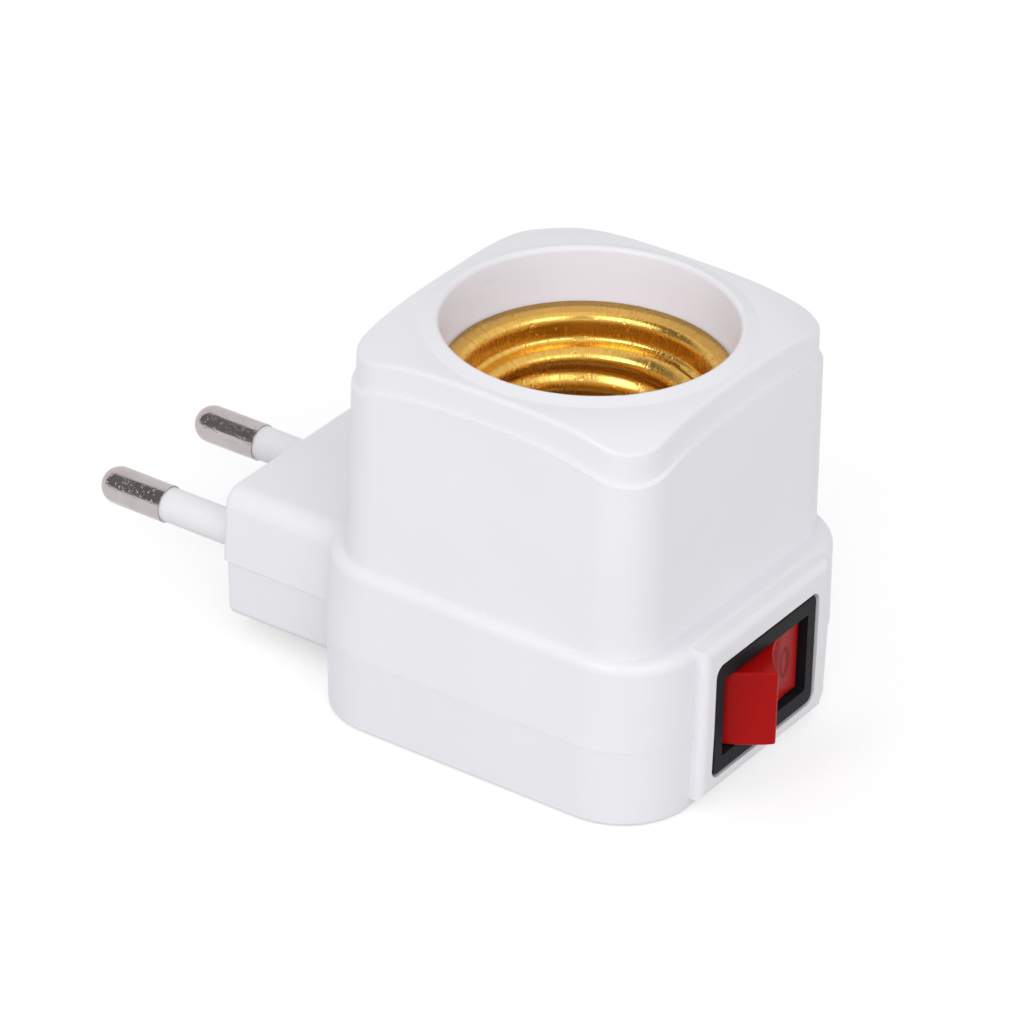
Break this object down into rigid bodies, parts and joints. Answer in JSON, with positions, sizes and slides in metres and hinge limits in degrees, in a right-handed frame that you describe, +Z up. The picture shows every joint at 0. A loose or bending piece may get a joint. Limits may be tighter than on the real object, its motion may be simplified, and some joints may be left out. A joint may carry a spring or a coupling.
{
  "type": "plug in lamp holder",
  "caption": "Screw lamp socket in a square crowned housing that plugs into a mains outlet by its own pins, with a rocker switch on the end opposite the pins.",
  "frame": {"origin": "on the flat underside of the base, straight below the axis of the lamp socket", "axes": "+Z up along the lamp socket axis, out of its mouth; -X the way the plug pins point; +X the way the switch faces; +Y completes the right-handed frame"},
  "size_m": [0.095, 0.0468, 0.0514],
  "materials": {
    "white_moulding": "polished moulding, faintly cool white",
    "white_moulding_lower": "polished moulding, faintly cool white",
    "screw_steel": "zinc plated",
    "shell_brass": "bright spun sheet",
    "insulator": "fine grained thermoset",
    "contact_brass": "rolled strip",
    "rivet_brass": "formed",
    "rivet_brass_outer": "formed",
    "tag_brass": "stamped",
    "tag_brass_centre": "stamped",
    "small_screw_steel": "zinc plated",
    "pin_metal_live": "nickel plated, polished",
    "pin_metal_neutral": "nickel plated, polished",
    "sleeve_live": "milky moulded sleeve",
    "sleeve_neutral": "milky moulded sleeve",
    "switch_black": "finely spark eroded",
    "rocker_red": "polished moulding",
    "plunger_plastic": "moulded",
    "spring_steel": "drawn wire",
    "arm_copper": "stamped strip",
    "contact_alloy_moving": "silver alloy",
    "terminal_brass_common": "stamped blade",
    "terminal_brass_load": "stamped blade",
    "contact_alloy_fixed": "silver alloy",
    "connector_brass": "rolled sheet",
    "lead_brown": "extruded insulation",
    "lead_brown_switched": "extruded insulation",
    "lead_blue": "extruded insulation"
  },
  "bodies": {
    "housing": {"upper_housing": "white_moulding", "lower_housing": "white_moulding_lower", "housing_screws": "screw_steel", "screw_shell": "shell_brass", "socket_insulator": "insulator", "centre_contact": "contact_brass", "centre_rivet": "rivet_brass", "shell_rivets": "rivet_brass_outer", "shell_tag": "tag_brass", "centre_tag": "tag_brass_centre", "socket_screws": "small_screw_steel", "live_pin": "pin_metal_live", "neutral_pin": "pin_metal_neutral", "live_pin_sleeve": "sleeve_live", "neutral_pin_sleeve": "sleeve_neutral", "switch_case": "switch_black", "common_terminal": "terminal_brass_common", "load_terminal": "terminal_brass_load", "fixed_contact": "contact_alloy_fixed", "switch_connectors": "connector_brass", "live_lead": "lead_brown", "switched_lead": "lead_brown_switched", "neutral_lead": "lead_blue"},
    "rocker": {"rocker": "rocker_red", "rocker_plunger": "plunger_plastic", "rocker_spring": "spring_steel"},
    "contact_arm": {"contact_arm": "arm_copper", "moving_contact": "contact_alloy_moving"}
  },
  "joints": [
    {"name": "rocker_tilt", "type": "hinge", "parent": "housing", "child": "rocker", "pos_m": [0.0218, 0, 0.011], "axis": [0, 0, 1], "range_deg": [-44.8, 0]},
    {"name": "contact_arm_tilt", "type": "hinge", "parent": "housing", "child": "contact_arm", "pos_m": [0.0145, 0, 0.011], "axis": [0, 0, 1], "range_deg": [0, 12]}
  ],
  "couplings": [
    {"joint": "contact_arm_tilt", "follows": "rocker_tilt", "ratio": -0.26785}
  ]
}
